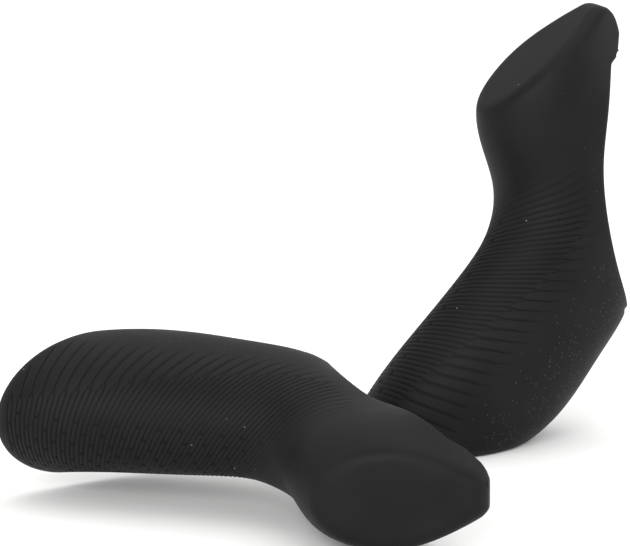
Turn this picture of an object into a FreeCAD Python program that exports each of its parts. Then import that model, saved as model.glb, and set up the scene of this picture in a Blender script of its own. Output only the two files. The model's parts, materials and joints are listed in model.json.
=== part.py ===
import FreeCAD, Part
import math
import os
import Sketcher

# A pair of moulded rubber hoods for road brake and shift levers, mirror images of each other.
# Each hood is one moulding: a palm grip that is open at its slanted rear rim, a neck that bends up
# into a closed horn with a slanted front face, and under the horn an opening where the lever passes.
# In a hood's own frame +X points to the horn, +Z to the top of the palm grip, and the outer side of
# the hood is +Y on the left hood and -Y on the right one. Its origin is the rear rim's lower end.
# The left hood lies on its inner side, the right hood stands on its rear rim. Millimetres, degrees.

os.makedirs("parts", exist_ok=True)
doc = FreeCAD.newDocument("LeverHoods")
sheet = doc.addObject("Spreadsheet::Sheet", "Sheet")

# The skin runs through leaning ellipses. For each one: its middle along X and along Z, its half
# height, how far it leans back from the vertical, its half width, and its shift to the outer side.
# From the bend on, the ellipses reach below the lever opening, and above the front face.
COLUMNS = ("along", "up", "tall", "lean", "wide", "shift")
SKIN = {
    "rim": (-15.5, 19.5, 25, 36, 18.2, -0.5),
    "skirt": (1, 19.5, 26, 25, 17.5, 1.8),
    "palm": (18.5, 18.5, 24.4, 21, 16.5, 2.2),
    "grip": (34.5, 18, 22.6, 17.5, 15.3, 2.2),
    "bend": (44.5, 21.5, 19.5, 18, 14.9, 1.3),
    "neck": (56, 28.5, 19, 22.5, 15.1, 0),
    "horn": (66, 38, 22.5, 15, 16, -0.5),
    "nose": (79, 43.5, 22, 1, 15.5, 0.4),
    "beak": (91.5, 44.5, 19.8, -10, 10, 1.2),
    "tip": (100.5, 44.5, 18.5, -10, 4.5, 1.6),
}

# Gap in millimetres that may be closed where the faces of a tube meet.
MEND = 1e-6

# The hollow follows the skin one wall thickness inside it, and ends short of the tip.
HOLLOW = ("rim", "skirt", "palm", "grip", "bend", "neck", "horn", "nose")
HOLLOW_END = {"end": (92.5, 44.5, 17.5, -10, 6, 1.2)}

CELLS = {
    "wall": 2.2,
    # width of the blocks that cut across a hood
    "cutwidth": 60,
    # front face: a shallow crown that falls from the peak of the horn to the tip
    "peakx": 62, "peakz": 59.4, "facefall": 14, "facebehind": 14, "faceahead": 60, "faceradius": 300,
    "facewall": 1, "clearz": 120,
    # lever opening: one long arc from the heel under the grip to the notch behind the tip's lip
    "heelx": 40.6, "heelz": -3.3, "notchx": 89.4, "notchz": 42.1, "openradius": 92,
    "lipx": 92, "lipz": 41, "frontx": 125, "frontz": 52, "belowz": -25,
    # soft edges round the front face and round the blunt end of the beak
    "faceround": 4, "tipround": 3,
    # locating studs inside the side walls, for the recesses of a lever body
    "studx": 49, "studz": 30, "studradius": 2.5, "studlong": 3.4, "studout": 13.6, "studshift": 0.8,
    # how the hoods rest
    "leftturn": -21, "lefttilt": 1.75, "leftroll": 6.5, "leftx": -36.4, "lefty": -17.6,
    "rightturn": 22.2, "rightx": 54.3, "righty": 18.7,
}


def fill_sheet():
    cells = {}
    for group in (SKIN, HOLLOW_END):
        for name, sizes in group.items():
            for column, value in zip(COLUMNS, sizes):
                cells[name + column] = value
    cells.update(CELLS)
    for row, (alias, value) in enumerate(cells.items(), start=1):
        sheet.set("A%d" % row, alias)
        sheet.set("B%d" % row, str(value))
        sheet.setAlias("B%d" % row, alias)
    doc.recompute()


def cell(alias):
    return float(sheet.get(alias))


def corner_poles(name, inset):
    """The eight control points round one leaning ellipse, from its top, with the first one repeated."""
    lean = math.radians(cell(name + "lean"))
    middle = FreeCAD.Vector(cell(name + "along"), cell(name + "shift"), cell(name + "up"))
    upward = FreeCAD.Vector(-math.sin(lean), 0, math.cos(lean)).multiply(cell(name + "tall") - inset)
    outward = FreeCAD.Vector(0, 1, 0).multiply(cell(name + "wide") - inset)
    steps = [(1, 0), (1, 1), (0, 1), (-1, 1), (-1, 0), (-1, -1), (0, -1), (1, -1), (1, 0)]
    return [middle + upward * up + outward * out for up, out in steps]


def tube(label, rings):
    """A closed solid through leaning ellipses: each control point follows a smooth curve from ring to
    ring, so that every section between two rings is an ellipse as well."""
    tracks = []
    for places in zip(*rings):
        track = Part.BSplineCurve()
        track.interpolate(Points=list(places), Parameters=list(range(len(rings))))
        tracks.append(track)
    poles = [[track.getPole(number) for track in tracks] for number in range(1, tracks[0].NbPoles + 1)]
    # these weights on every second control point make four arcs of an exact ellipse
    weights = [[1 if number % 2 == 0 else math.cos(math.pi / 4) for number in range(9)] for _ in poles]
    wall = Part.BSplineSurface()
    wall.buildFromPolesMultsKnots(poles, tracks[0].getMultiplicities(), (3, 2, 2, 2, 3),
                                  tracks[0].getKnots(), (0, 1, 2, 3, 4), False, False,
                                  tracks[0].Degree, 2, weights)
    side = wall.toShape()
    ends = [Part.Face(Part.Wire([edge])) for edge in side.Edges if not edge.isSeam(side)]
    solid = Part.Solid(Part.Shell([side] + ends))
    solid.fix(MEND, MEND, MEND)
    result = doc.addObject("Part::Feature", label)
    result.Shape = solid
    return result


def side_cutter(name, corners, radius=None):
    """A block across the hood whose side view has these corners, each a pair of expressions for X and
    Z. With a radius, the edge between the first two corners is an arc that bulges to its left."""
    sketch = doc.addObject("Sketcher::SketchObject", name + "_outline")
    sketch.Placement = FreeCAD.Placement(FreeCAD.Vector(), FreeCAD.Rotation(FreeCAD.Vector(1, 0, 0), 90))
    points = [FreeCAD.Vector(*[sheet.evalExpression(text) for text in corner]) for corner in corners]
    first, second = points[0], points[1]
    if radius:
        chord = second.sub(first)
        rise = cell(radius) - math.sqrt(cell(radius) ** 2 - chord.Length ** 2 / 4)
        left = FreeCAD.Vector(-chord.y, chord.x, 0).normalize()
        middle = first.add(second).multiply(0.5).add(left.multiply(rise))
        sketch.addGeometry(Part.Arc(first, middle, second), False)
    else:
        sketch.addGeometry(Part.LineSegment(first, second), False)
    for start, end in zip(points[1:], points[2:] + points[:1]):
        sketch.addGeometry(Part.LineSegment(start, end), False)
    last = len(points) - 1
    # an arc is stored anticlockwise, so one that bulges to its left starts at the second corner
    sketch.addConstraint(Sketcher.Constraint("Coincident", 0, 1 if radius else 2, 1, 1))
    for edge in range(1, last):
        sketch.addConstraint(Sketcher.Constraint("Coincident", edge, 2, edge + 1, 1))
    sketch.addConstraint(Sketcher.Constraint("Coincident", last, 2, 0, 2 if radius else 1))
    for index, (corner, point) in enumerate(zip(corners, points)):
        edge, end = (last, 2) if index == 0 else (index, 1)
        for kind, text, value in (("DistanceX", corner[0], point.x), ("DistanceY", corner[1], point.y)):
            number = sketch.addConstraint(Sketcher.Constraint(kind, -1, 1, edge, end, value))
            sketch.renameConstraint(number, "corner%d%s" % (index, kind[-1]))
            sketch.setExpression("Constraints.corner%d%s" % (index, kind[-1]), text)
    if radius:
        number = sketch.addConstraint(Sketcher.Constraint("Radius", 0, cell(radius)))
        sketch.renameConstraint(number, "bulge")
        sketch.setExpression("Constraints.bulge", "Sheet." + radius)
    block = doc.addObject("Part::Extrusion", name)
    block.Base = sketch
    block.DirMode = "Normal"
    block.Solid = True
    block.Symmetric = True
    block.setExpression("LengthFwd", "Sheet.cutwidth")
    return block


def cut(name, base, tool):
    result = doc.addObject("Part::Cut", name)
    result.Base = base
    result.Tool = tool
    return result


def edge_numbers(shape, faces):
    """The numbers, from 1, of a shape's edges that border any of these faces of it."""
    return [number for number, edge in enumerate(shape.Edges, start=1)
            if any(edge.isSame(other) for face in faces for other in face.Edges)]


def build_shell():
    """The moulding of a left hood in its own frame, without its locating studs."""
    behind = ("Sheet.peakx - cos(Sheet.facefall) * Sheet.facebehind",
              "Sheet.peakz + sin(Sheet.facefall) * Sheet.facebehind")
    ahead = ("Sheet.peakx + cos(Sheet.facefall) * Sheet.faceahead",
             "Sheet.peakz - sin(Sheet.facefall) * Sheet.faceahead")
    above = [(ahead[0], "Sheet.clearz"), (behind[0], "Sheet.clearz")]
    front_face = side_cutter("front_face", [behind, ahead] + above, "faceradius")
    lowered = [(x, z + " - Sheet.facewall") for x, z in (behind, ahead)]
    front_wall = side_cutter("front_wall", lowered + above)
    lever_opening = side_cutter("lever_opening", [
        ("Sheet.heelx", "Sheet.heelz"), ("Sheet.notchx", "Sheet.notchz"), ("Sheet.lipx", "Sheet.lipz"),
        ("Sheet.frontx", "Sheet.frontz"), ("Sheet.frontx", "Sheet.belowz"), ("Sheet.heelx", "Sheet.belowz"),
    ], "openradius")

    faced = cut("faced", tube("skin", [corner_poles(name, 0) for name in SKIN]), front_face)
    opened = cut("opened", faced, lever_opening)
    doc.recompute()
    crowns = [face for face in opened.Shape.Faces
              if face.Surface.TypeId == "Part::GeomCylinder" and face.CenterOfMass.z > cell("notchz")]
    flats = [face for face in opened.Shape.Faces if face.Surface.TypeId == "Part::GeomPlane"]
    blunt_end = max(flats, key=lambda face: face.CenterOfMass.x)
    face_edges = edge_numbers(opened.Shape, crowns)
    tip_edges = [number for number in edge_numbers(opened.Shape, [blunt_end]) if number not in face_edges]
    rounded = doc.addObject("Part::Fillet", "rounded")
    rounded.Base = opened
    rounded.Edges = [(number, cell(radius), cell(radius))
                     for edges, radius in ((face_edges, "faceround"), (tip_edges, "tipround"))
                     for number in edges]

    rings = [corner_poles(name, cell("wall")) for name in HOLLOW]
    rings += [corner_poles(name, 0) for name in HOLLOW_END]
    hollow = cut("hollow", tube("core", rings), front_wall)
    return cut("shell", rounded, hollow)


def build_stud(name, side):
    """A short round peg on the inside of one side wall, sunk into the wall at its root."""
    stud = doc.addObject("Part::Cylinder", name)
    stud.setExpression("Radius", "Sheet.studradius")
    stud.setExpression("Height", "Sheet.studlong")
    inward = FreeCAD.Rotation(FreeCAD.Vector(1, 0, 0), 90 * side)
    stud.Placement = FreeCAD.Placement(FreeCAD.Vector(), inward)
    stud.setExpression("Placement.Base.x", "Sheet.studx")
    stud.setExpression("Placement.Base.y", "Sheet.studshift + %d * Sheet.studout" % side)
    stud.setExpression("Placement.Base.z", "Sheet.studz")
    return stud


def build_moulding(shell):
    """The whole left hood in its own frame."""
    moulding = doc.addObject("Part::MultiFuse", "moulding")
    moulding.Shapes = [shell, build_stud("outer_stud", 1), build_stud("inner_stud", -1)]
    return moulding


def set_down(hood, label, rotation, along, across):
    """Turns a hood, puts it in its place and lets its lowest point rest on the ground."""
    hood.Label = label
    doc.recompute()
    hood.Placement = FreeCAD.Placement(FreeCAD.Vector(cell(along), cell(across), 0), rotation)
    height = hood.Shape.optimalBoundingBox().ZMin
    hood.Placement = FreeCAD.Placement(FreeCAD.Vector(cell(along), cell(across), -height), rotation)


def centre(hoods):
    """Moves the hoods together so that the origin is below the middle of their common box."""
    box = Part.makeCompound([hood.Shape for hood in hoods]).optimalBoundingBox()
    for hood in hoods:
        base = hood.Placement.Base
        middle = FreeCAD.Vector(box.Center.x, box.Center.y, 0)
        hood.Placement = FreeCAD.Placement(base.sub(middle), hood.Placement.Rotation)


def check_and_write(hoods):
    doc.recompute()
    for item in doc.Objects:
        if "Invalid" in item.State or "Error" in item.State:
            raise RuntimeError("%s failed: %s" % (item.Name, item.State))
    for hood in hoods:
        shape = hood.Shape
        if shape.isNull() or not shape.isValid() or len(shape.Solids) != 1:
            raise RuntimeError("%s is not one valid solid" % hood.Label)
        box = shape.optimalBoundingBox()
        print("%s: %.0f mm3, %.1f x %.1f x %.1f mm" % (
            hood.Label, shape.Volume, box.XLength, box.YLength, box.ZLength))
        shape.exportStep("parts/%s.step" % hood.Label)


fill_sheet()
moulding = build_moulding(build_shell())
left = doc.addObject("Part::Refine", "left")
left.Source = moulding
right = doc.addObject("Part::Mirroring", "right")
right.Source = moulding
right.Normal = FreeCAD.Vector(0, 1, 0)
set_down(left, "left_hood", FreeCAD.Rotation(cell("leftturn"), cell("lefttilt"), 90 + cell("leftroll")),
         "leftx", "lefty")
set_down(right, "right_hood", FreeCAD.Rotation(cell("rightturn"), cell("rimlean") - 90, 0),
         "rightx", "righty")
centre([left, right])
check_and_write([left, right])
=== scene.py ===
import json
import math
import bmesh
import bpy
import numpy as np
from mathutils import Matrix, Vector
from mathutils.bvhtree import BVHTree


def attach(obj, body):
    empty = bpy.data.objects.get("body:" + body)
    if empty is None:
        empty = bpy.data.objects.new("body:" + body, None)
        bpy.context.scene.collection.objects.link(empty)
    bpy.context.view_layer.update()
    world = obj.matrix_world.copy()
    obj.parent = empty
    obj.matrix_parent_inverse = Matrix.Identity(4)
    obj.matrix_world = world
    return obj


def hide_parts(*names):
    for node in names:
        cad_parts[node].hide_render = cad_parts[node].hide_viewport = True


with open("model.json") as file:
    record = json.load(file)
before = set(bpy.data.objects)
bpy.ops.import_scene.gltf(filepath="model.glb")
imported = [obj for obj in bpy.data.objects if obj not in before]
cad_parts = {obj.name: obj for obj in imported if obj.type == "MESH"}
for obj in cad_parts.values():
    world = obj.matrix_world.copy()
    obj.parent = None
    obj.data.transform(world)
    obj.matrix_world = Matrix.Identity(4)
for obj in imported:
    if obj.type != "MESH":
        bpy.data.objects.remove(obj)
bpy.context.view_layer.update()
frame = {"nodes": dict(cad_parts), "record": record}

# A pair of moulded rubber hoods for road brake and shift levers, one the mirror image of the other.
# In a hood's own frame, in millimetres, +X points to the horn, +Z to the top of the grip and +Y to
# the outer side of the left hood.

mm = 0.001
mounts = {mount["name"]: mount for mount in frame["record"]["mounts"]}


# where each hood lies

hoodPlace = {
    "rimLean": 36,                       # degrees that the rear rim leans back
    "rimCentre": (-15.5, -0.5, 19.5),    # on the left hood; the right hood has it mirrored
}


def hoodFrame(side):
    rim, opening = mounts[side + "_sleeve"], mounts[side + "_lever_opening"]
    across = Vector(opening["axis"]).cross(Vector(rim["axis"])).normalized()
    lean = math.radians(hoodPlace["rimLean"])
    ahead = Matrix.Rotation(lean, 3, across) @ -Vector(rim["axis"])
    turn = Matrix((ahead, across, ahead.cross(across))).transposed()
    mirror = Matrix.Diagonal((1, 1 if side == "left" else -1, 1))
    centre = mirror @ Vector(hoodPlace["rimCentre"]) * mm
    return Matrix.Translation(Vector(rim["pos_m"]) - turn @ centre) @ (turn @ mirror * mm).to_4x4()


# the skin of a hood, felt out on the CAD body

skin = {
    # x and z of the top line and of the bottom line or opening edge, from the rear rim to the tip
    "stations": [
        ((-30.1, 39.7), (-0.7, -0.7)), ((-10, 43), (12, -4)), ((9.8, 41.3), (27.2, -4.3)),
        ((27.7, 39.5), (40.6, -3.6)), ((38.5, 40), (49, 6.5)), ((48.7, 46), (59, 21.5)),
        ((56, 54.5), (66, 27.5)), ((61, 60.5), (72.5, 32)), ((70, 59), (79, 36.5)),
        ((82, 56.5), (86, 40.5)), ((91.5, 54), (92, 41.2)), ((96.5, 53), (96, 42.2)),
        ((99.4, 51.9), (98.2, 43.2)), ((100.7, 50.2), (99.6, 44.3)), ((101.1, 48.6), (100.6, 45.8)),
    ],
    "stationStep": 0.5,              # millimetres from one station to the next
    "rayStep": 2,                    # degrees between feelers round a station
    "edgeSlack": 0.06,               # feelers stop this far above the cut of the opening
    "reach": 60,                     # how far outside the skin a feeler starts
    # the opening in side view: an arc from the heel to the notch, then the underside of the beak
    "heel": (40.6, -3.3), "notch": (89.4, 42.1), "openRadius": 92,
    "underside": [(89.4, 42.1), (92, 41), (97.5, 42.8), (101.1, 46.4)],
    "rowStep": 0.6, "rowsFrom": 25.8,    # close rows over the top, as far down as this girth
    "sideRows": 26,                      # and this many more, spread out, below them
    "lipRound": 0.9,                     # how far back from an edge its rounding starts
    "smoothing": 3,
    "wallRows": 3,                       # the wall of the hollow has every third row
}


def throughPoints(points, step):
    # a smooth line through the points, then even steps along its middle
    points = np.array(points, float)
    ends = np.vstack([2 * points[0] - points[1], points, 2 * points[-1] - points[-2]])
    line = []
    for before, start, end, after in zip(ends, ends[1:], ends[2:], ends[3:]):
        t = np.linspace(0, 1, 20, endpoint=False)[:, None]
        second = 2 * before - 5 * start + 4 * end - after
        third = 3 * start - before - 3 * end + after
        line.append(0.5 * (2 * start + (end - before) * t + second * t ** 2 + third * t ** 3))
    line = np.vstack(line + [points[-1:]])
    middle = (line[:, :2] + line[:, 2:]) / 2
    along = np.concatenate([[0], np.cumsum(np.linalg.norm(np.diff(middle, axis=0), axis=1))])
    places = np.linspace(0, along[-1], int(along[-1] / step) + 1)
    return np.stack([np.interp(places, along, line[:, n]) for n in range(4)], 1)


def cutHeight(x):
    # height in side view below which the lever opening has taken the skin away
    (x0, z0), (x1, z1), r = skin["heel"], skin["notch"], skin["openRadius"]
    if x < x0:
        return -1000
    if x > x1:
        return np.interp(x, *zip(*skin["underside"]))
    half = math.hypot(x1 - x0, z1 - z0) / 2
    turn = math.atan2(z1 - z0, x1 - x0)
    depth = math.sqrt(r * r - half * half)
    middleX = (x0 + x1) / 2 + math.sin(turn) * depth
    middleZ = (z0 + z1) / 2 - math.cos(turn) * depth
    return middleZ + math.sqrt(r * r - (x - middleX) ** 2)


def feel(tree, middle, way, outside):
    # where a feeler meets the outer skin, coming from outside, or the wall of the hollow, from within
    if outside:
        hit = tree.ray_cast(middle + way * skin["reach"], -way, skin["reach"])[0]
    else:
        hit = tree.ray_cast(middle, way, skin["reach"])[0]
    return hit if hit and hit.z > cutHeight(hit.x) + skin["edgeSlack"] else None


def halfRing(tree, station, side, outside):
    # points of one section, from the top line down one side, and whether it ends at the opening
    top, bottom = Vector((station[0], 0, station[1])), Vector((station[2], 0, station[3]))
    middle, up, out = (top + bottom) / 2, (top - bottom).normalized(), Vector((0, side, 0))

    def touch(angle):
        return feel(tree, middle, up * math.cos(angle) + out * math.sin(angle), outside)

    points, angle, step = [], 0, math.radians(skin["rayStep"])
    while angle < math.pi and touch(angle):
        points.append(touch(angle))
        angle += step
    if angle >= math.pi:
        return np.array(points + [points[-1] * Vector((1, 0, 1))]), False
    inside, beyond = angle - step, angle
    for _ in range(14):
        half = (inside + beyond) / 2
        inside, beyond = (half, beyond) if touch(half) else (inside, half)
    points.append(touch(inside))
    return np.array(points), True


def alongRing(ring, places):
    run = np.concatenate([[0], np.cumsum(np.linalg.norm(np.diff(ring, axis=0), axis=1))])
    return np.stack([np.interp(places, run, ring[:, n]) for n in range(3)], 1)


def lengthOf(ring):
    return np.linalg.norm(np.diff(ring, axis=0), axis=1).sum()


def rowPlaces(length):
    # girth of each row below the top line: close rows where the grip is patterned, then spread out
    fine = np.arange(0, skin["rowsFrom"] + 0.01, skin["rowStep"])
    fine = fine * min(1, 0.7 * length / skin["rowsFrom"])
    return np.concatenate([fine, np.linspace(fine[-1], length, skin["sideRows"] + 1)[1:]])


def feelSkin(tree, line):
    # for each station: rows on the outer skin and on the wall of the hollow, from the -Y side to +Y
    names = ("outer", "inner", "outerEdge", "innerEdge", "girth", "open", "innerOpen")
    found = {name: [] for name in names}
    for station in line:
        rows = {"outer": [], "inner": [], "outerEdge": [], "innerEdge": []}
        for side in (-1, 1):
            ring, isOpen = halfRing(tree, station, side, True)
            wall, wallOpen = halfRing(tree, station, side, False)
            length, wallLength = lengthOf(ring), lengthOf(wall)
            places = rowPlaces(length - skin["lipRound"] * isOpen)
            wallPlaces = places / places[-1] * (wallLength - skin["lipRound"] * wallOpen)
            rows["outer"].append(alongRing(ring, places))
            rows["inner"].append(alongRing(wall, wallPlaces))
            rows["outerEdge"].append(ring[-1])
            rows["innerEdge"].append(wall[-1])
        for name in ("outer", "inner"):
            found[name].append(np.vstack([rows[name][0][:0:-1], rows[name][1]]))
            found[name + "Edge"].append(rows[name + "Edge"])
        found["girth"].append(np.concatenate([-places[:0:-1], places]))
        found["open"].append(isOpen)
        found["innerOpen"].append(wallOpen)
    return {name: np.array(values) for name, values in found.items()}


def evenOut(table, times):
    # takes the small flats of the CAD mesh out of a table of rows
    for _ in range(times):
        table[1:-1] = (table[:-2] + 2 * table[1:-1] + table[2:]) / 4
        table[:, 1:-1] = (table[:, :-2] + 2 * table[:, 1:-1] + table[:, 2:]) / 4
    return table


# the pattern of the grip

grip = {
    "finePitch": 1.27,               # between grooves over the top, millimetres
    "columnsPerPitch": 4,
    "band": 5, "front": 186,         # stations between which the grooves lie
    "levels": (-42, 48),             # first and last groove, by where it crosses the top line
    # how much a groove leans forward on its way down the outer side, by where it crosses the top line
    "leanAt": [-30, -20, 0, 10, 20, 37, 50], "lean": [-0.1, 0.03, 0.3, 0.44, 0.55, 0.68, 0.75],
    "bow": 0.002,
    "fadeOut": (25, 31),             # girth over which the long grooves run out
    "fadeAhead": (34, 46),           # and over which, further on, all of them do
    "blendRows": (51, 69),
    "width": 0.56, "depth": 0.34,
    "splitGirth": 14, "splitDrift": 0.34, "splitInside": 21, "splitLength": 3.5,
    "dashRow": 3.0, "dashFirst": 0.6, "dashFrom": 4.6,   # girth of the rows, and below which they start
}


def grooveLevels(x, girth):
    # the place on the top line of the groove that runs through each point; towards the palm side the
    # grooves stop leaning and run straight round
    inside = np.minimum(girth + 10, 0)
    run = np.where(girth > -10, girth, -10 - 8 * (1 - np.exp(inside / 8)))
    trial = np.linspace(-90, 110, 401)
    lean = np.interp(trial, grip["leanAt"], grip["lean"])
    levels = np.empty_like(x)
    for k in range(x.shape[0]):
        for j in range(x.shape[1]):
            g = run[k, j]
            reached = np.maximum.accumulate(trial + lean * g + grip["bow"] * g * abs(g))
            levels[k, j] = np.interp(x[k, j], reached, trial)
    return levels


def columnPlaces(levels):
    # the station of each column of the finished mesh, row by row; most columns follow a groove
    band, front = grip["band"], grip["front"]
    step = grip["finePitch"] / grip["columnsPerPitch"]
    first, last = (round(end / step) for end in grip["levels"])
    wanted = np.arange(first, last + 1) * step
    wanted = np.concatenate([wanted, np.arange(wanted[-1] + 1, 95, 1.2)])
    rows = levels.shape[1]
    middle = rows // 2
    away = np.abs(np.arange(rows) - middle)
    start, end = grip["blendRows"]
    blend = np.clip((away - start) / (end - start), 0, 1)
    blend = blend * blend * (3 - 2 * blend)
    even = np.linspace(band, front, len(wanted))
    stations = np.arange(band, front + 1)
    columns = np.empty((len(wanted), rows))
    for j in range(rows):
        rising = np.maximum.accumulate(levels[band:front + 1, j] + np.arange(len(stations)) * 1e-7)
        columns[:, j] = np.interp(wanted, rising, stations) * (1 - blend[j]) + even * blend[j]
    ahead = np.concatenate([np.arange(front + 2, 240, 2), np.arange(240, len(levels))])
    behind = np.array([2, 3.2, 4.2, band])
    return np.vstack([np.repeat(behind[:, None], rows, 1), columns, np.repeat(ahead[:, None], rows, 1)])


def pick(table, columns):
    # the table's values between its stations
    low = np.minimum(np.floor(columns).astype(int), len(table) - 2)
    part = columns - low
    rows = np.arange(columns.shape[1])[None, :]
    if table.ndim == 3:
        part = part[..., None]
    return table[low, rows] * (1 - part) + table[low + 1, rows] * part


def lipCurve(start, outerEdge, innerEdge, end, count=5):
    # a rounded lip from the outer skin to the wall of the hollow
    line = []
    for t in np.linspace(0, 1, count + 2)[1:-1]:
        u = 1 - t
        line.append(start * u ** 3 + 3 * outerEdge * t * u ** 2 + 3 * innerEdge * t * t * u + end * t ** 3)
    return line


def hoodShell(found):
    # points, faces and the groove values of a whole hood, in its own frame
    outer = evenOut(found["outer"].copy(), skin["smoothing"])
    middleRow = outer.shape[1] // 2
    gap = np.linalg.norm(found["inner"][:, middleRow] - found["outer"][:, middleRow], axis=1)
    hollowEnd = int(np.argmax((gap < 0.3) & (np.arange(len(gap)) > 200)))    # the solid tip starts here
    inner = found["inner"].copy()
    inner[:hollowEnd] = evenOut(inner[:hollowEnd], skin["smoothing"])
    # both sides meet below, in the middle, as far as the opening
    for table, isOpen in ((outer, found["open"]), (inner, found["innerOpen"])):
        seam = (table[~isOpen, 0] + table[~isOpen, -1]) / 2 * (1, 0, 1)
        table[~isOpen, 0] = seam
        table[~isOpen, -1] = seam

    levels = grooveLevels(outer[..., 0], found["girth"])
    columns = columnPlaces(levels)
    skinPoints = pick(outer, columns)
    level = pick(levels, columns)
    girth = pick(found["girth"], columns)
    every = skin["wallRows"]
    wallPoints = pick(inner, columns)[:, ::every]
    endPlaces = columns[:, 0]
    lastWall = int(np.argmax(endPlaces >= hollowEnd)) - 1
    firstOpen = int(np.argmax(endPlaces > np.argmax(found["open"]) - 1))
    firstInnerOpen = int(np.argmax(endPlaces > np.argmax(found["innerOpen"]) - 1))

    # how deep the pattern is cut, from 0 to 1, and how strongly a painted sheen lightens the rims
    start, stop = grip["fadeOut"]
    calm = np.clip((stop - np.abs(girth)) / (stop - start), 0, 1)
    calm *= np.clip((columns - grip["band"]) / 0.8, 0, 1) * np.clip((grip["front"] - columns) / 4, 0, 1)
    start, stop = grip["fadeAhead"]
    calm *= np.clip((stop - level) / (stop - start), 0, 1)
    # painted highlight: lighter along the rear rim and along the lips of the opening, where grazing light
    # brightens the edges
    paintedRimSheen = np.clip(1 - (columns - 2) / 3.5, 0, 1)
    paintedRimSheen[firstOpen:, :2] = paintedRimSheen[firstOpen:, -2:] = 0.6

    points, faces, values = [], [], []

    def add(block, levelOf=0, girthOf=0, calmOf=0, paintedRimSheenOf=1):
        block = np.asarray(block, float).reshape(-1, 3)
        first = sum(len(old) for old in points)
        points.append(block)
        given = (levelOf, girthOf, calmOf, paintedRimSheenOf)
        values.append(np.stack([np.broadcast_to(np.ravel(value), len(block)) for value in given], 1))
        return first + np.arange(len(block))

    def strip(one, other):
        faces.extend(zip(one[:-1], one[1:], other[1:], other[:-1]))

    columnCount, rowCount = columns.shape
    outerIds = add(skinPoints, level, girth, calm, paintedRimSheen).reshape(columnCount, rowCount)
    for c in range(columnCount - 1):
        strip(outerIds[c + 1], outerIds[c])
    wallIds = add(wallPoints[:lastWall + 1], paintedRimSheenOf=0).reshape(lastWall + 1, -1)
    for c in range(lastWall):
        strip(wallIds[c], wallIds[c + 1])

    # the rear rim
    lip = lipCurve(skinPoints[0], outer[0], inner[0], pick(inner, columns[:1])[0])
    lines = [outerIds[0]] + [add(line) for line in lip]
    for one, other in zip(lines, lines[1:]):
        strip(one, other)
    for n in range(wallIds.shape[1] - 1):
        faces.append((*lines[-1][every * n:every * (n + 1) + 1], wallIds[0][n + 1], wallIds[0][n]))

    # the lever opening, down each side, and the underside of the beak
    sides = []
    bothEdges = [pick(found["outerEdge"][:, side:side + 1], endPlaces[:, None])[:, 0] for side in (0, 1)]
    centre = (bothEdges[0] + bothEdges[1]) / 2 * (1, 0, 1)
    for side, row in ((0, 0), (1, -1)):
        edges = bothEdges[side]
        walls = pick(found["innerEdge"][:, side:side + 1], endPlaces[:, None])[:, 0]
        previous, ends = None, {}
        for c in range(firstOpen - 1, columnCount):
            begin, edge = skinPoints[c, row], edges[c]
            if c < firstOpen:
                line = np.array([outerIds[c, row]] * 7)
            else:
                if c < firstInnerOpen - 1:
                    wall, end = edge * (1, 0.5, 1), centre[c]
                elif c < firstInnerOpen:
                    wall, end = edge * (1, 0.5, 1), wallPoints[c, row]
                elif c <= lastWall:
                    wall, end = walls[c], wallPoints[c, row]
                else:
                    wall, end = edge * (1, 0.8, 1), edge * (1, 0.5, 1)
                middleIds = add(lipCurve(begin, edge, wall, end))
                endId = wallIds[c, row] if firstInnerOpen - 1 <= c <= lastWall else add([end])[0]
                line = np.concatenate([[outerIds[c, row]], middleIds, [endId]])
            if previous is not None:
                strip(*((previous, line) if side else (line, previous)))
            previous = line
            ends[c] = line
        sides.append(ends)
    near, far = sides
    for c in range(lastWall, columnCount - 1):
        faces.append((near[c][-1], near[c + 1][-1], far[c + 1][-1], far[c][-1]))
    faces.append(tuple(wallIds[lastWall]))
    tip = [*outerIds[-1], *far[columnCount - 1][1:], *near[columnCount - 1][:0:-1]]
    faces.append(tuple(tip[::-1]))
    return np.vstack(points), faces, np.vstack(values)


bosses = {
    "place": (49, 0.8, 30),          # between the two, which hold the hood on the lever's bracket
    "outline": [(0, 1.8), (1.7, 1.8), (2.3, 1.55), (2.5, 1.1), (2.5, -0.7), (0, -0.7)],   # radius, height
    "sides": 20,
}


def addBosses(tree, points, faces, values):
    # two small round bosses inside the neck, each facing the other
    middle = Vector(bosses["place"])
    for way in (-1, 1):
        top = tree.ray_cast(middle, Vector((0, way, 0)))[0]
        height = bosses["outline"][0][1]
        turns = np.linspace(0, 2 * np.pi, bosses["sides"], endpoint=False)
        first = len(points)
        block = [(middle.x + r * np.cos(a), top.y + way * (height - h), middle.z + r * np.sin(a))
                 for r, h in bosses["outline"] for a in turns]
        points = np.vstack([points, block])
        values = np.vstack([values, np.zeros((len(block), values.shape[1]))])
        n = len(turns)
        for ring in range(len(bosses["outline"]) - 1):
            for k in range(n):
                a, b = first + ring * n + k, first + ring * n + (k + 1) % n
                faces.append((a, b, b + n, a + n))
    return points, faces, values


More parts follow.
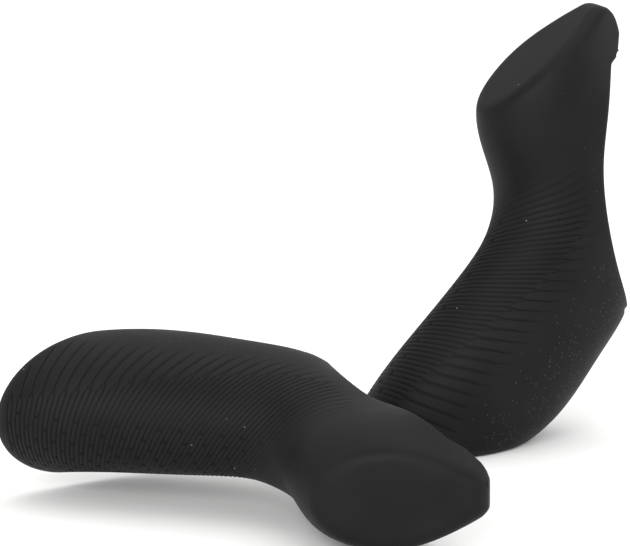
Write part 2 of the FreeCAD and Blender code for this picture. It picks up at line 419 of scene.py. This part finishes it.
def meshOf(points, faces, values):
    # one closed mesh in which points that fell together are one
    mesh = bpy.data.meshes.new("hood")
    tidy = []
    for face in faces:
        ids = [int(i) for n, i in enumerate(face) if i != face[n - 1]]
        if len(set(ids)) == len(ids) and len(ids) > 2:
            tidy.append(ids)
    mesh.from_pydata(points.tolist(), [], tidy)
    for n, name in enumerate(("level", "girth", "calm", "paintedRimSheen")):
        layer = mesh.attributes.new(name, "FLOAT", "POINT")
        layer.data.foreach_set("value", np.ascontiguousarray(values[:, n], np.float32))
    work = bmesh.new()
    work.from_mesh(mesh)
    bmesh.ops.remove_doubles(work, verts=work.verts, dist=0.004)
    bmesh.ops.dissolve_degenerate(work, dist=0.002, edges=work.edges)
    bmesh.ops.recalc_face_normals(work, faces=work.faces)
    loose = [vert for vert in work.verts if not vert.link_faces]
    bmesh.ops.delete(work, geom=loose, context="VERTS")
    loose = sum(1 for edge in work.edges if not edge.is_manifold)
    volume = work.calc_volume(signed=True)
    if volume < 0:
        bmesh.ops.reverse_faces(work, faces=work.faces)
    work.to_mesh(mesh)
    work.free()
    print("hood shell: %d points, %d faces, %d open edges, %.0f mm3" % (
        len(mesh.vertices), len(mesh.polygons), loose, abs(volume)))
    return mesh


def addNode(tree, kind, settings, *inputs, **named):
    # one node with its settings; each input, by its number or name, is a value, a node or a socket to link
    node = tree.nodes.new(kind)
    for name, value in settings.items():
        setattr(node, name, value)
    given = dict(enumerate(inputs))
    given.update((name.replace("_", " "), value) for name, value in named.items())
    for key, value in given.items():
        if isinstance(value, bpy.types.Node):
            value = value.outputs[0]
        if isinstance(value, bpy.types.NodeSocket):
            tree.links.new(value, node.inputs[key])
        elif value is not None:
            node.inputs[key].default_value = value
    return node


def gripGrooves():
    # cuts the grooves and the cross dashes into the skin, from the level and girth of each point
    tree = bpy.data.node_groups.new("gripGrooves", "GeometryNodeTree")
    tree.interface.new_socket("Geometry", in_out="INPUT", socket_type="NodeSocketGeometry")
    sizes = [
        ("Fine pitch", grip["finePitch"]), ("Groove width", grip["width"]), ("Groove depth", grip["depth"]),
        ("Split girth", grip["splitGirth"]), ("Split drift", grip["splitDrift"]),
        ("Split inside", grip["splitInside"]), ("Split length", grip["splitLength"]),
        ("Dash row", grip["dashRow"]), ("First dash row", grip["dashFirst"]),
        ("Dashes below", grip["dashFrom"]),
    ]
    for name, value in sizes:
        tree.interface.new_socket(name, in_out="INPUT", socket_type="NodeSocketFloat").default_value = value
    tree.interface.new_socket("Rubber", in_out="INPUT", socket_type="NodeSocketMaterial")
    tree.interface.new_socket("Geometry", in_out="OUTPUT", socket_type="NodeSocketGeometry")
    size = addNode(tree, "NodeGroupInput", {}).outputs

    attribute = "GeometryNodeInputNamedAttribute"
    maths = "ShaderNodeMath"
    mapping = "ShaderNodeMapRange"
    smooth = {"interpolation_type": "SMOOTHSTEP"}
    multiply = {"operation": "MULTIPLY"}
    divide = {"operation": "DIVIDE"}
    subtract = {"operation": "SUBTRACT"}
    fold = {"operation": "PINGPONG"}
    below = {"operation": "LESS_THAN"}
    larger = {"operation": "MAXIMUM"}
    level = addNode(tree, attribute, {"data_type": "FLOAT"}, "level")
    girth = addNode(tree, attribute, {"data_type": "FLOAT"}, "girth")
    calm = addNode(tree, attribute, {"data_type": "FLOAT"}, "calm")
    line = addNode(tree, maths, divide, level, size["Fine pitch"])

    # each long groove splits into two fine ones on its way up
    drift = addNode(tree, maths, multiply, level, size["Split drift"])
    splitAt = addNode(tree, maths, {"operation": "ADD"}, size["Split girth"], drift)
    outside = addNode(tree, maths, subtract, girth, splitAt)
    otherWay = addNode(tree, maths, multiply, girth, -1.0)
    inside = addNode(tree, maths, subtract, otherWay, size["Split inside"])
    beyond = addNode(tree, maths, larger, outside, inside)
    spread = addNode(tree, mapping, smooth, beyond, 0.0, size["Split length"], 0.5, 0.0)
    offRib = addNode(tree, maths, subtract, addNode(tree, maths, fold, line, 1.0), spread)
    offRib = addNode(tree, maths, {"operation": "ABSOLUTE"}, offRib)
    off = addNode(tree, maths, multiply, offRib, size["Fine pitch"])
    halfWidth = addNode(tree, maths, multiply, size["Groove width"], 0.5)
    groove = addNode(tree, mapping, smooth, off, 0.0, halfWidth, 1.0, 0.0)

    # rows of short dashes across every fourth rib, each row two ribs on from the last
    fromFirst = addNode(tree, maths, subtract, girth, size["First dash row"])
    halfRow = addNode(tree, maths, multiply, size["Dash row"], 0.5)
    rowOff = addNode(tree, maths, fold, fromFirst, halfRow)
    rowPlace = addNode(tree, maths, divide, fromFirst, size["Dash row"])
    twoRibs = addNode(tree, maths, multiply, addNode(tree, maths, {"operation": "ROUND"}, rowPlace), 2.0)
    ribOff = addNode(tree, maths, fold, addNode(tree, maths, subtract, line, twoRibs), 2.0)
    dash = addNode(tree, maths, multiply, addNode(tree, mapping, smooth, rowOff, 0.0, 0.6, 1.0, 0.0),
                   addNode(tree, mapping, smooth, ribOff, 0.35, 0.6, 1.0, 0.0))
    dash = addNode(tree, maths, multiply, dash, addNode(tree, maths, below, girth, size["Dashes below"]))
    dash = addNode(tree, maths, multiply, dash, addNode(tree, maths, below, inside, 0.0))

    cut = addNode(tree, maths, multiply, addNode(tree, maths, larger, groove, dash), calm)
    # the cut is also kept for the material, which uses it to paint shade into the grooves
    kept = addNode(tree, "GeometryNodeStoreNamedAttribute", {"data_type": "FLOAT", "domain": "POINT"},
                   Geometry=size["Geometry"], Name="cut", Value=cut)
    depth = addNode(tree, maths, multiply, cut, addNode(tree, maths, multiply, size["Groove depth"], -1.0))
    inward = addNode(tree, "ShaderNodeVectorMath", {"operation": "SCALE"},
                     addNode(tree, "GeometryNodeInputNormal", {}), Scale=depth)
    moved = addNode(tree, "GeometryNodeSetPosition", {}, kept, Offset=inward)
    real = addNode(tree, "GeometryNodeRealizeInstances", {}, moved)
    done = addNode(tree, "GeometryNodeSetMaterial", {}, real, Material=size["Rubber"])
    addNode(tree, "NodeGroupOutput", {}, done)
    return tree


def linear(hexColour):
    parts = [int(hexColour[n:n + 2], 16) / 255 for n in (1, 3, 5)]
    return (*[p / 12.92 if p <= 0.04045 else ((p + 0.055) / 1.055) ** 2.4 for p in parts], 1)


blank = [None] * 5                   # a Mix node's inputs between its factor and its two colours

rubber = {
    # 040404 is painted shade for the grooves and dashes
    "paintedGrooveShade": "#040404", "black": "#101011", "rimSheenAndPatches": "#202022", "dust": "#a9a8a4",
    # millimetres; the real mould grain is about 0.1 and would not show
    "grain": 0.45, "cloud": 14, "speck": 2.2, "fineDust": 0.6,
}


def mouldedRubber():
    # natural rubber, matte from a blasted mould: soft wide highlights, painted shade in the grooves, a
    # painted sheen along the rims, random greyer patches, and a little chalky dust
    material = bpy.data.materials.new("mouldedRubber")
    material.use_nodes = True
    tree = material.node_tree
    tree.nodes.clear()
    place = addNode(tree, "ShaderNodeTexCoord", {}).outputs["Object"]
    cut = addNode(tree, "ShaderNodeAttribute", {"attribute_name": "cut"}).outputs["Fac"]
    paintedRimSheen = addNode(tree, "ShaderNodeAttribute", {"attribute_name": "paintedRimSheen"}).outputs["Fac"]
    girth = addNode(tree, "ShaderNodeAttribute", {"attribute_name": "girth"}).outputs["Fac"]
    cloud = addNode(tree, "ShaderNodeTexNoise", {}, Vector=place, Scale=1000 / rubber["cloud"], Detail=3.0)
    grain = addNode(tree, "ShaderNodeTexNoise", {}, Vector=place, Scale=1000 / rubber["grain"], Detail=2.0)
    patch = addNode(tree, "ShaderNodeMapRange", {}, cloud, 0.35, 0.7, 0.0, 0.35)
    # the painted rim sheen, taken together with random greyer patches of the rubber's own tone
    rimSheenAndPatches = addNode(tree, "ShaderNodeMath", {"operation": "MAXIMUM"}, paintedRimSheen, patch)
    mix = {"data_type": "RGBA"}
    # 202022 is the grey of the painted rim sheen and of the random patches
    black, rimSheenAndPatchGrey = linear(rubber["black"]), linear(rubber["rimSheenAndPatches"])
    base = addNode(tree, "ShaderNodeMix", mix, rimSheenAndPatches, *blank, black, rimSheenAndPatchGrey)
    # painted shade: grooves and dashes are mixed towards near-black by how deeply they are cut
    paintedGrooveShade = addNode(tree, "ShaderNodeMix", mix, cut, *blank, base.outputs[2], linear(rubber["paintedGrooveShade"]))

    # a few chalky specks all over, and finer dust on the smooth flank below the grooves
    cells = addNode(tree, "ShaderNodeTexVoronoi", {}, Vector=place, Scale=1000 / rubber["speck"])
    near = addNode(tree, "ShaderNodeMapRange", {}, cells.outputs["Distance"], 0.05, 0.09, 1.0, 0.0)
    few = addNode(tree, "ShaderNodeMath", {"operation": "GREATER_THAN"}, cells.outputs["Color"], 0.88)
    speck = addNode(tree, "ShaderNodeMath", {"operation": "MULTIPLY"}, near, few)
    flank = addNode(tree, "ShaderNodeMapRange", {}, girth, 24.0, 44.0, 0.0, 0.4)
    fine = addNode(tree, "ShaderNodeTexVoronoi", {}, Vector=place, Scale=1000 / rubber["fineDust"])
    fineNear = addNode(tree, "ShaderNodeMapRange", {}, fine.outputs["Distance"], 0.12, 0.24, 0.22, 0.0)
    some = addNode(tree, "ShaderNodeMath", {"operation": "LESS_THAN"}, fine.outputs["Color"], flank)
    fineDust = addNode(tree, "ShaderNodeMath", {"operation": "MULTIPLY"}, fineNear, some)
    dust = addNode(tree, "ShaderNodeMath", {"operation": "MAXIMUM"}, speck, fineDust)
    colour = addNode(tree, "ShaderNodeMix", mix, dust, *blank, paintedGrooveShade.outputs[2], linear(rubber["dust"]))

    rough = addNode(tree, "ShaderNodeMapRange", {}, cloud, 0.3, 0.7, 0.5, 0.62)
    bump = addNode(tree, "ShaderNodeBump", {}, Height=grain, Strength=0.35, Distance=0.00012)
    shader = addNode(tree, "ShaderNodeBsdfPrincipled", {}, Base_Color=colour.outputs[2], Roughness=rough,
                     IOR=1.52, Specular_IOR_Level=0.12, Normal=bump)
    addNode(tree, "ShaderNodeOutputMaterial", {}, Surface=shader)
    return material


def addHood(side, shell, modifierTree, material):
    holder = bpy.data.objects.new("shell", shell)
    bpy.context.scene.collection.objects.link(holder)
    modifier = holder.modifiers.new("gripGrooves", "NODES")
    modifier.node_group = modifierTree
    for item in modifierTree.interface.items_tree:
        if item.in_out == "INPUT" and item.name == "Rubber":
            modifier[item.identifier] = material
        elif item.in_out == "INPUT" and item.name != "Geometry":
            modifier[item.identifier] = item.default_value
    bpy.context.view_layer.update()
    ready = holder.evaluated_get(bpy.context.evaluated_depsgraph_get())
    mesh = bpy.data.meshes.new_from_object(ready)
    bpy.data.objects.remove(holder)
    mesh.transform(hoodFrame(side))
    if side == "right":
        mesh.flip_normals()
    mesh.polygons.foreach_set("use_smooth", [True] * len(mesh.polygons))
    hood = bpy.data.objects.new(side + "_hood_rubber", mesh)
    bpy.context.scene.collection.objects.link(hood)
    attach(hood, side)
    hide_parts(side + "_hood")
    return hood


node = frame["nodes"]["left_hood"]
toHood = hoodFrame("left").inverted()
tree = BVHTree.FromPolygons([toHood @ vert.co for vert in node.data.vertices],
                            [tuple(face.vertices) for face in node.data.polygons])
line = throughPoints([top + bottom for top, bottom in skin["stations"]], skin["stationStep"])
found = feelSkin(tree, line)
print("skin felt at %d stations" % len(line))
shell = meshOf(*addBosses(tree, *hoodShell(found)))
grooves = gripGrooves()
black = mouldedRubber()
hoods = [addHood(side, shell.copy(), grooves, black) for side in ("left", "right")]
for hood in hoods:
    triangles = sum(len(face.vertices) - 2 for face in hood.data.polygons)
    print("%s made of %d triangles" % (hood.name, triangles))


# floor, light and camera

studio = {
    "floor": "#f4f4f3", "sky": "#ffffff", "skyStrength": 0.85,
    # name, place and size in metres, power in watts
    "lights": [
        ("overhead", (0, 0.25, 1.3), 1.4, 6),
        ("front", (-0.4, -1.2, 0.55), 0.9, 14),
        ("right", (1.1, 0.1, 0.6), 0.7, 5),
    ],
}
view = {"elevation": 12.93, "distance": 1.111, "lens": 250, "target": (-0.00115, 0.03142, 0.04704)}


def setFloor():
    mesh = bpy.data.meshes.new("floor")
    far = 6
    mesh.from_pydata([(-far, -far, 0), (far, -far, 0), (far, far, 0), (-far, far, 0)], [], [(0, 1, 2, 3)])
    material = bpy.data.materials.new("paleFloor")
    material.use_nodes = True
    shader = material.node_tree.nodes["Principled BSDF"]
    shader.inputs["Base Color"].default_value = linear(studio["floor"])
    shader.inputs["Roughness"].default_value = 0.9
    mesh.materials.append(material)
    floor = bpy.data.objects.new("floor", mesh)
    bpy.context.scene.collection.objects.link(floor)


def setLights():
    for name, place, size, power in studio["lights"]:
        light = bpy.data.lights.new(name, "AREA")
        light.shape = "DISK"
        light.size = size
        light.energy = power
        lamp = bpy.data.objects.new(name, light)
        bpy.context.scene.collection.objects.link(lamp)
        lamp.location = place
        lamp.rotation_euler = (Vector((0, 0, 0.04)) - Vector(place)).to_track_quat("-Z", "Y").to_euler()
    world = bpy.data.worlds.new("studio")
    world.use_nodes = True
    sky = world.node_tree.nodes["Background"]
    sky.inputs["Color"].default_value = linear(studio["sky"])
    sky.inputs["Strength"].default_value = studio["skyStrength"]
    bpy.context.scene.world = world
    bpy.context.scene.view_settings.view_transform = "Standard"


def setCamera():
    data = bpy.data.cameras.new("camera")
    data.lens = view["lens"]
    data.sensor_width = 36
    data.clip_end = 50
    camera = bpy.data.objects.new("camera", data)
    bpy.context.scene.collection.objects.link(camera)
    rise = math.radians(view["elevation"])
    target = Vector(view["target"])
    camera.location = target + Vector((0, -math.cos(rise), math.sin(rise))) * view["distance"]
    camera.rotation_euler = (target - camera.location).to_track_quat("-Z", "Y").to_euler()
    bpy.context.scene.camera = camera


setFloor()
setLights()
setCamera()
print("floor, %d lights and camera set" % len(studio["lights"]))
